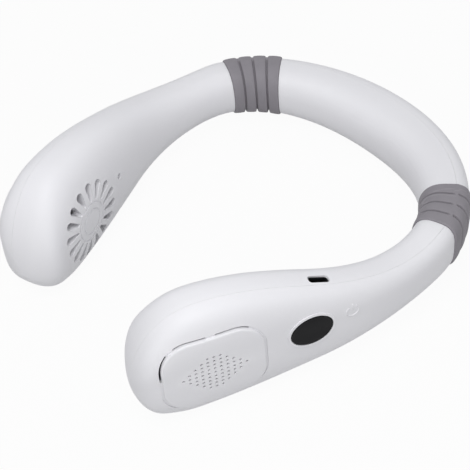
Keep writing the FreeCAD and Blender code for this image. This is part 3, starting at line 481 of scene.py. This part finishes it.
def buildBrushLines():
    # fine drawn lines of turned or drawn metal
    group, start, end = newGroup("brushLines", [
        ("Scale", "NodeSocketFloat", 900.0),
        ("Stretch", "NodeSocketFloat", 0.06),
    ], [("Height", "NodeSocketFloat")])
    links = group.links
    where = addNode(group, "ShaderNodeTexCoord")
    scale = addNode(group, "ShaderNodeCombineXYZ")
    scale.inputs["X"].default_value = 1.0
    scale.inputs["Y"].default_value = 1.0
    links.new(start.outputs["Stretch"], scale.inputs["Z"])
    stretch = addNode(group, "ShaderNodeVectorMath", operation="MULTIPLY")
    links.new(where.outputs["Object"], stretch.inputs[0])
    links.new(scale.outputs[0], stretch.inputs[1])
    noise = addNode(group, "ShaderNodeTexNoise")
    noise.inputs["Detail"].default_value = 2.0
    links.new(stretch.outputs[0], noise.inputs["Vector"])
    links.new(start.outputs["Scale"], noise.inputs["Scale"])
    links.new(noise.outputs["Fac"], end.inputs["Height"])
    return group


toneDrift = buildToneDrift()
mouldGrain = buildMouldGrain()
edgeTone = buildEdgeTone()
brushLines = buildBrushLines()


def placeGroup(tree, group, **values):
    node = tree.nodes.new("ShaderNodeGroup")
    node.node_tree = group
    for key, value in values.items():
        node.inputs[key].default_value = value
    return node


def rgb(red, green, blue):
    return (red, green, blue, 1.0)


# one entry for each moulded finish, then one for each metal, which has drawn lines in place of grain
# the edge colour of each finish below is a painted highlight on its sharp edges
finishes = {
    "whitePlastic": {
        "tone": rgb(0.9, 0.895, 0.92), "shade": rgb(0.86, 0.855, 0.885), "edge": rgb(0.93, 0.925, 0.945),
        "driftScale": 22.0, "drift": 0.5, "edgeShare": 0.4, "rough": (0.46, 0.58),
        "grain": 1800.0, "pits": 0.35, "bump": 0.05, "bumpDepth": 0.00004,
        "specular": 0.4, "coat": 0.0, "through": 0.1,
    },
    "fanPlastic": {
        "tone": rgb(0.86, 0.86, 0.88), "shade": rgb(0.82, 0.82, 0.84), "edge": rgb(0.9, 0.9, 0.92),
        "driftScale": 40.0, "drift": 0.4, "edgeShare": 0.4, "rough": (0.35, 0.5),
        "grain": 1500.0, "pits": 0.3, "bump": 0.05, "bumpDepth": 0.00004,
        "specular": 0.5, "coat": 0.0, "through": 0.3,
    },
    "sleeveRubber": {
        "tone": rgb(0.262, 0.247, 0.27), "shade": rgb(0.235, 0.223, 0.243), "edge": rgb(0.33, 0.312, 0.34),
        "driftScale": 160.0, "drift": 0.6, "edgeShare": 0.6, "rough": (0.55, 0.75),
        "grain": 2600.0, "pits": 0.5, "bump": 0.18, "bumpDepth": 0.00006,
        "specular": 0.35, "coat": 0.0,
    },
    "buttonBlack": {
        "tone": rgb(0.007, 0.007, 0.008), "shade": rgb(0.01, 0.01, 0.011), "edge": rgb(0.025, 0.025, 0.027),
        "driftScale": 90.0, "drift": 0.6, "edgeShare": 0.7, "rough": (0.42, 0.55),
        "grain": 2200.0, "pits": 0.4, "bump": 0.08, "bumpDepth": 0.00004,
        "specular": 0.1, "coat": 0.0,
    },
    "darkNylon": {
        "tone": rgb(0.075, 0.075, 0.08), "shade": rgb(0.06, 0.06, 0.064), "edge": rgb(0.11, 0.11, 0.115),
        "driftScale": 120.0, "drift": 0.6, "edgeShare": 0.5, "rough": (0.5, 0.68),
        "grain": 1900.0, "pits": 0.5, "bump": 0.12, "bumpDepth": 0.00005,
        "specular": 0.4, "coat": 0.0,
    },
    "cableJacket": {
        "tone": rgb(0.028, 0.028, 0.03), "shade": rgb(0.02, 0.02, 0.021), "edge": rgb(0.05, 0.05, 0.05),
        "driftScale": 200.0, "drift": 0.6, "edgeShare": 0.3, "rough": (0.5, 0.65),
        "grain": 2400.0, "pits": 0.4, "bump": 0.1, "bumpDepth": 0.00004,
        "specular": 0.4, "coat": 0.0,
    },
    "greenBoard": {
        "tone": rgb(0.02, 0.17, 0.065), "shade": rgb(0.035, 0.24, 0.1), "edge": rgb(0.35, 0.33, 0.2),
        "driftScale": 420.0, "drift": 0.8, "edgeShare": 0.7, "rough": (0.3, 0.45),
        "grain": 900.0, "pits": 0.7, "bump": 0.1, "bumpDepth": 0.00005,
        "specular": 0.5, "coat": 0.2,
    },
    "batteryWrap": {
        "tone": rgb(0.09, 0.23, 0.47), "shade": rgb(0.07, 0.19, 0.4), "edge": rgb(0.16, 0.32, 0.58),
        "driftScale": 130.0, "drift": 0.6, "edgeShare": 0.5, "rough": (0.22, 0.38),
        "grain": 260.0, "pits": 0.15, "bump": 0.15, "bumpDepth": 0.0001,
        "specular": 0.5, "coat": 0.25,
    },
    "magnetGrey": {
        "tone": rgb(0.1, 0.1, 0.105), "shade": rgb(0.08, 0.08, 0.083), "edge": rgb(0.16, 0.16, 0.165),
        "driftScale": 300.0, "drift": 0.7, "edgeShare": 0.6, "rough": (0.45, 0.6),
        "grain": 2600.0, "pits": 0.6, "bump": 0.15, "bumpDepth": 0.00004,
        "specular": 0.5, "coat": 0.0,
    },
}
metals = {
    "drawnSteel": {
        "tone": rgb(0.56, 0.56, 0.57), "shade": rgb(0.48, 0.48, 0.495), "edge": rgb(0.72, 0.72, 0.73),
        "driftScale": 180.0, "drift": 0.6, "edgeShare": 0.6, "rough": (0.24, 0.4),
        "lines": 2600.0, "stretch": 0.08, "bump": 0.08, "bumpDepth": 0.00003,
    },
    # socket steel painted near black: painted shade for the deep socket hole
    "socketSteelPaintedShade": {
        "tone": rgb(0.05, 0.05, 0.052), "shade": rgb(0.035, 0.035, 0.037), "edge": rgb(0.16, 0.16, 0.17),
        "driftScale": 240.0, "drift": 0.6, "edgeShare": 0.5, "rough": (0.38, 0.5),
        "lines": 2600.0, "stretch": 0.1, "bump": 0.05, "bumpDepth": 0.00003,
    },
    "turnedBrass": {
        "tone": rgb(0.68, 0.5, 0.19), "shade": rgb(0.58, 0.41, 0.15), "edge": rgb(0.82, 0.65, 0.32),
        "driftScale": 220.0, "drift": 0.6, "edgeShare": 0.6, "rough": (0.22, 0.36),
        "lines": 2400.0, "stretch": 0.05, "bump": 0.08, "bumpDepth": 0.00003,
    },
    "coreIron": {
        "tone": rgb(0.23, 0.23, 0.24), "shade": rgb(0.18, 0.18, 0.185), "edge": rgb(0.38, 0.38, 0.39),
        "driftScale": 260.0, "drift": 0.6, "edgeShare": 0.5, "rough": (0.36, 0.5),
        "lines": 2200.0, "stretch": 3.0, "bump": 0.2, "bumpDepth": 0.00005,
    },
}


def startMaterial(name, spec):
    material = bpy.data.materials.new(name)
    material.use_nodes = True
    tree = material.node_tree
    shader = tree.nodes["Principled BSDF"]
    drift = placeGroup(tree, toneDrift, Tone=spec["tone"], Shade=spec["shade"], Scale=spec["driftScale"],
                       Amount=spec["drift"])
    # painted highlight: lighter colour on sharp edges
    edge = placeGroup(tree, edgeTone, Edge=spec["edge"], Amount=spec["edgeShare"])
    tree.links.new(drift.outputs["Color"], edge.inputs["Color"])
    tree.links.new(edge.outputs["Color"], shader.inputs["Base Color"])
    return material, tree, shader


def finishSurface(tree, shader, spec, height, fleck):
    rough = addNode(tree, "ShaderNodeMapRange")
    limits = zip(("From Min", "From Max", "To Min", "To Max"), surfaceSet["fleckFrom"] + spec["rough"])
    for socketName, limit in limits:
        rough.inputs[socketName].default_value = limit
    tree.links.new(fleck, rough.inputs["Value"])
    tree.links.new(rough.outputs["Result"], shader.inputs["Roughness"])
    bump = addNode(tree, "ShaderNodeBump")
    bump.inputs["Strength"].default_value = spec["bump"]
    bump.inputs["Distance"].default_value = spec["bumpDepth"]
    tree.links.new(height, bump.inputs["Height"])
    tree.links.new(bump.outputs["Normal"], shader.inputs["Normal"])


def mouldedMaterial(name, spec):
    material, tree, shader = startMaterial(name, spec)
    shader.inputs["Specular IOR Level"].default_value = spec["specular"]
    shader.inputs["Coat Weight"].default_value = spec["coat"]
    shader.inputs["Coat Roughness"].default_value = surfaceSet["coatRough"]
    grain = placeGroup(tree, mouldGrain, Scale=spec["grain"], Pits=spec["pits"])
    finishSurface(tree, shader, spec, grain.outputs["Height"], grain.outputs["Fleck"])
    if "through" in spec:
        # thin white walls let some light into the hollow arms
        lit = addNode(tree, "ShaderNodeBsdfTranslucent")
        lit.inputs["Color"].default_value = spec["tone"]
        mix = addNode(tree, "ShaderNodeMixShader")
        mix.inputs[0].default_value = spec["through"]
        tree.links.new(shader.outputs[0], mix.inputs[1])
        tree.links.new(lit.outputs[0], mix.inputs[2])
        tree.links.new(mix.outputs[0], tree.nodes["Material Output"].inputs["Surface"])
    return material


def metalMaterial(name, spec):
    material, tree, shader = startMaterial(name, spec)
    shader.inputs["Metallic"].default_value = 1.0
    lines = placeGroup(tree, brushLines, Scale=spec["lines"], Stretch=spec["stretch"])
    finishSurface(tree, shader, spec, lines.outputs["Height"], lines.outputs["Height"])
    return material


materials = {}
for name, spec in finishes.items():
    materials[name] = mouldedMaterial(name, spec)
for name, spec in metals.items():
    materials[name] = metalMaterial(name, spec)
print("materials built:", len(materials))

# which finish each record slot takes, and the two socket pieces that differ; the socket's steel is painted near
# black as painted shade in its hole
slotFinish = {
    "white_plastic": "whitePlastic",
    "white_fan_plastic": "fanPlastic",
    "grey_rubber": "sleeveRubber",
    "black_button": "buttonBlack",
    "dark_nylon": "darkNylon",
    "steel": "drawnSteel",
    "brass": "turnedBrass",
    "iron_core": "coreIron",
    "magnet": "magnetGrey",
    "battery_wrap": "batteryWrap",
    "green_board": "greenBoard",
    "black_cable": "cableJacket",
}
nodeFinish = {"usb_shell": "socketSteelPaintedShade", "usb_tongue": "buttonBlack"}


def dress(piece, finish):
    piece.data.materials.clear()
    piece.data.materials.append(materials[finish])


for entry in frame["record"]["subparts"]:
    name = entry["node"]
    dress(nodes[name], nodeFinish.get(name, slotFinish[entry["material_slot"]]))
for piece in sleeves:
    dress(piece, "sleeveRubber")
for piece in leads:
    dress(piece, "cableJacket")
dress(powerMark, "whitePlastic")
print("pieces dressed")

# pale floor that keeps a faint shadow, white to the camera
stageSet = {
    "half": 4.0,
    "drop": 0.0002,
    "tone": rgb(0.6, 0.6, 0.6),
    "rough": 0.9,
    "white": 0.95,
    "sky": 0.55,
    "skyTone": rgb(0.97, 0.98, 1.0),
}


def seenDirectly(tree):
    # one for camera, glossy and transmission rays
    path = addNode(tree, "ShaderNodeLightPath")
    first = addNode(tree, "ShaderNodeMath", operation="MAXIMUM")
    second = addNode(tree, "ShaderNodeMath", operation="MAXIMUM")
    tree.links.new(path.outputs["Is Camera Ray"], first.inputs[0])
    tree.links.new(path.outputs["Is Glossy Ray"], first.inputs[1])
    tree.links.new(first.outputs[0], second.inputs[0])
    tree.links.new(path.outputs["Is Transmission Ray"], second.inputs[1])
    return second.outputs[0]


def buildFloor():
    half = stageSet["half"]
    spots = ((-half, -half), (half, -half), (half, half), (-half, half))
    corners = [Vector((x, y, -stageSet["drop"])) for x, y in spots]
    floor = meshPiece("paleFloor", corners, [(0, 1, 2, 3)])
    material = bpy.data.materials.new("paleFloor")
    material.use_nodes = True
    tree = material.node_tree
    shader = tree.nodes["Principled BSDF"]
    shader.inputs["Base Color"].default_value = stageSet["tone"]
    shader.inputs["Roughness"].default_value = stageSet["rough"]
    shader.inputs["Specular IOR Level"].default_value = 0.0
    glow = addNode(tree, "ShaderNodeEmission")
    share = addNode(tree, "ShaderNodeMath", operation="MULTIPLY")
    share.inputs[1].default_value = stageSet["white"]
    tree.links.new(seenDirectly(tree), share.inputs[0])
    mix = addNode(tree, "ShaderNodeMixShader")
    tree.links.new(share.outputs[0], mix.inputs[0])
    tree.links.new(shader.outputs[0], mix.inputs[1])
    tree.links.new(glow.outputs[0], mix.inputs[2])
    tree.links.new(mix.outputs[0], tree.nodes["Material Output"].inputs["Surface"])
    floor.data.materials.append(material)


def buildSky():
    world = bpy.data.worlds.new("studioSky")
    scene.world = world
    world.use_nodes = True
    tree = world.node_tree
    tree.nodes.clear()
    soft = addNode(tree, "ShaderNodeBackground")
    soft.inputs["Color"].default_value = stageSet["skyTone"]
    soft.inputs["Strength"].default_value = stageSet["sky"]
    white = addNode(tree, "ShaderNodeBackground")
    white.inputs["Color"].default_value = rgb(1.0, 1.0, 1.0)
    mix = addNode(tree, "ShaderNodeMixShader")
    tree.links.new(seenDirectly(tree), mix.inputs[0])
    tree.links.new(soft.outputs[0], mix.inputs[1])
    tree.links.new(white.outputs[0], mix.inputs[2])
    out = addNode(tree, "ShaderNodeOutputWorld")
    tree.links.new(mix.outputs[0], out.inputs["Surface"])


# square softboxes: place, aim, side and watts
lamps = {
    "topSoftbox": {"at": (0.2, -0.25, 0.66), "aim": (0.0, -0.02, 0.03), "size": 0.28, "watts": 2.15},
    "frontFill": {"at": (0.95, -0.35, 0.55), "aim": (0.0, 0.0, 0.03), "size": 0.7, "watts": 1.05},
}


def aimed(at, aim):
    back = (Vector(at) - Vector(aim)).normalized()
    return back.to_track_quat("Z", "Y").to_matrix().to_4x4()


def buildLamps():
    for name, lamp in lamps.items():
        data = bpy.data.lights.new(name, "AREA")
        data.shape = "SQUARE"
        data.size = lamp["size"]
        data.energy = lamp["watts"]
        light = bpy.data.objects.new(name, data)
        light.matrix_world = Matrix.Translation(lamp["at"]) @ aimed(lamp["at"], lamp["aim"])
        scene.collection.objects.link(light)


# camera at the photograph's view
viewpoint = {
    "azimuth": 54.865,
    "elevation": 46.228,
    "roll": -5.427,
    "distance": 0.603492,
    "target": (0.002145, -0.01275, 0.0146),
    "lens": 101.83,
    "sensor": 36.0,
}


def buildCamera():
    azimuth = math.radians(viewpoint["azimuth"])
    elevation = math.radians(viewpoint["elevation"])
    roll = math.radians(viewpoint["roll"])
    flat = math.cos(elevation)
    back = Vector((math.sin(azimuth) * flat, -math.cos(azimuth) * flat, math.sin(elevation)))
    level = (-back).cross(Vector((0, 0, 1))).normalized()
    upright = level.cross(-back)
    right = level * math.cos(roll) + upright * math.sin(roll)
    up = upright * math.cos(roll) - level * math.sin(roll)
    data = bpy.data.cameras.new("photoView")
    data.lens = viewpoint["lens"]
    data.sensor_width = viewpoint["sensor"]
    camera = bpy.data.objects.new("photoView", data)
    turn = Matrix((right, up, back)).transposed().to_4x4()
    eye = Vector(viewpoint["target"]) + back * viewpoint["distance"]
    camera.matrix_world = Matrix.Translation(eye) @ turn
    scene.collection.objects.link(camera)
    scene.camera = camera


buildFloor()
buildSky()
buildLamps()
buildCamera()
print("stage, light and camera set")
